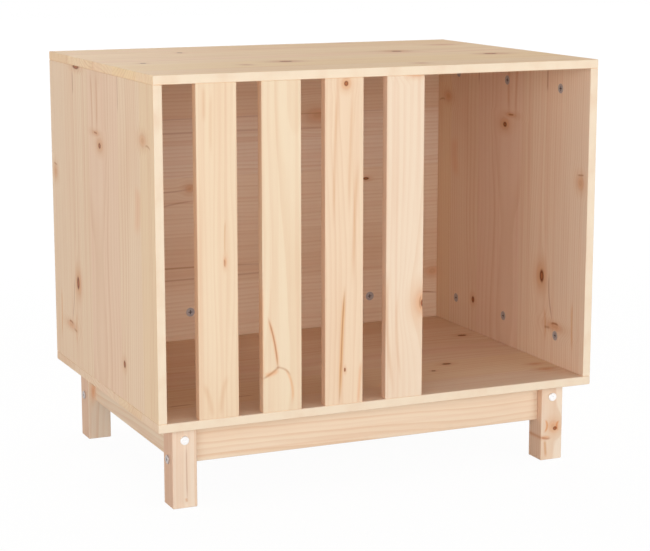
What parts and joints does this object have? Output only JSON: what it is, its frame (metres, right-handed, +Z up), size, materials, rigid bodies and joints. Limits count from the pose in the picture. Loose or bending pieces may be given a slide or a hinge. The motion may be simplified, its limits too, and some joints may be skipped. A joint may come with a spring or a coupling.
{
  "type": "dog house",
  "caption": "Free-standing pine dog house: open-fronted box of boards on a leg-and-rail base, upright slats at the left of the front and an open entrance at the right.",
  "frame": {"origin": "middle of the object's footprint, on the floor under the feet", "axes": "+X across the width towards the entrance side, +Y from the open front towards the back, +Z up"},
  "size_m": [0.7, 0.5, 0.62],
  "materials": {
    "pine_boards": "planed solid pine, edge-glued boards, unvarnished satin",
    "pine_slats": "planed solid pine, unvarnished satin",
    "pine_base": "planed solid pine, unvarnished satin",
    "beech": "turned beech, unvarnished",
    "cast_zinc": "die-cast zinc, dull grey",
    "zinc_plated_steel": "bright zinc plate",
    "white_plated_steel": "bright nickel plate, nearly white"
  },
  "bodies": {
    "root": {"top_panel": "pine_boards", "bottom_panel": "pine_boards", "left_side_panel": "pine_boards", "right_side_panel": "pine_boards", "back_panel": "pine_boards", "front_slat_1": "pine_slats", "front_slat_2": "pine_slats", "front_slat_3": "pine_slats", "front_slat_4": "pine_slats", "leg_front_left": "pine_base", "leg_front_right": "pine_base", "leg_rear_left": "pine_base", "leg_rear_right": "pine_base", "front_rail": "pine_base", "rear_rail": "pine_base", "left_rail": "pine_base", "right_rail": "pine_base", "left_side_cams": "cast_zinc", "right_side_cams": "cast_zinc", "back_cams": "cast_zinc", "top_cam_bolts": "zinc_plated_steel", "bottom_cam_bolts": "zinc_plated_steel", "leg_bolts": "white_plated_steel", "barrel_nuts": "zinc_plated_steel", "base_screws": "zinc_plated_steel", "top_board_dowels": "beech", "bottom_board_dowels": "beech", "slat_top_dowels": "beech", "slat_bottom_dowels": "beech", "rail_dowels": "beech"}
  },
  "joints": []
}
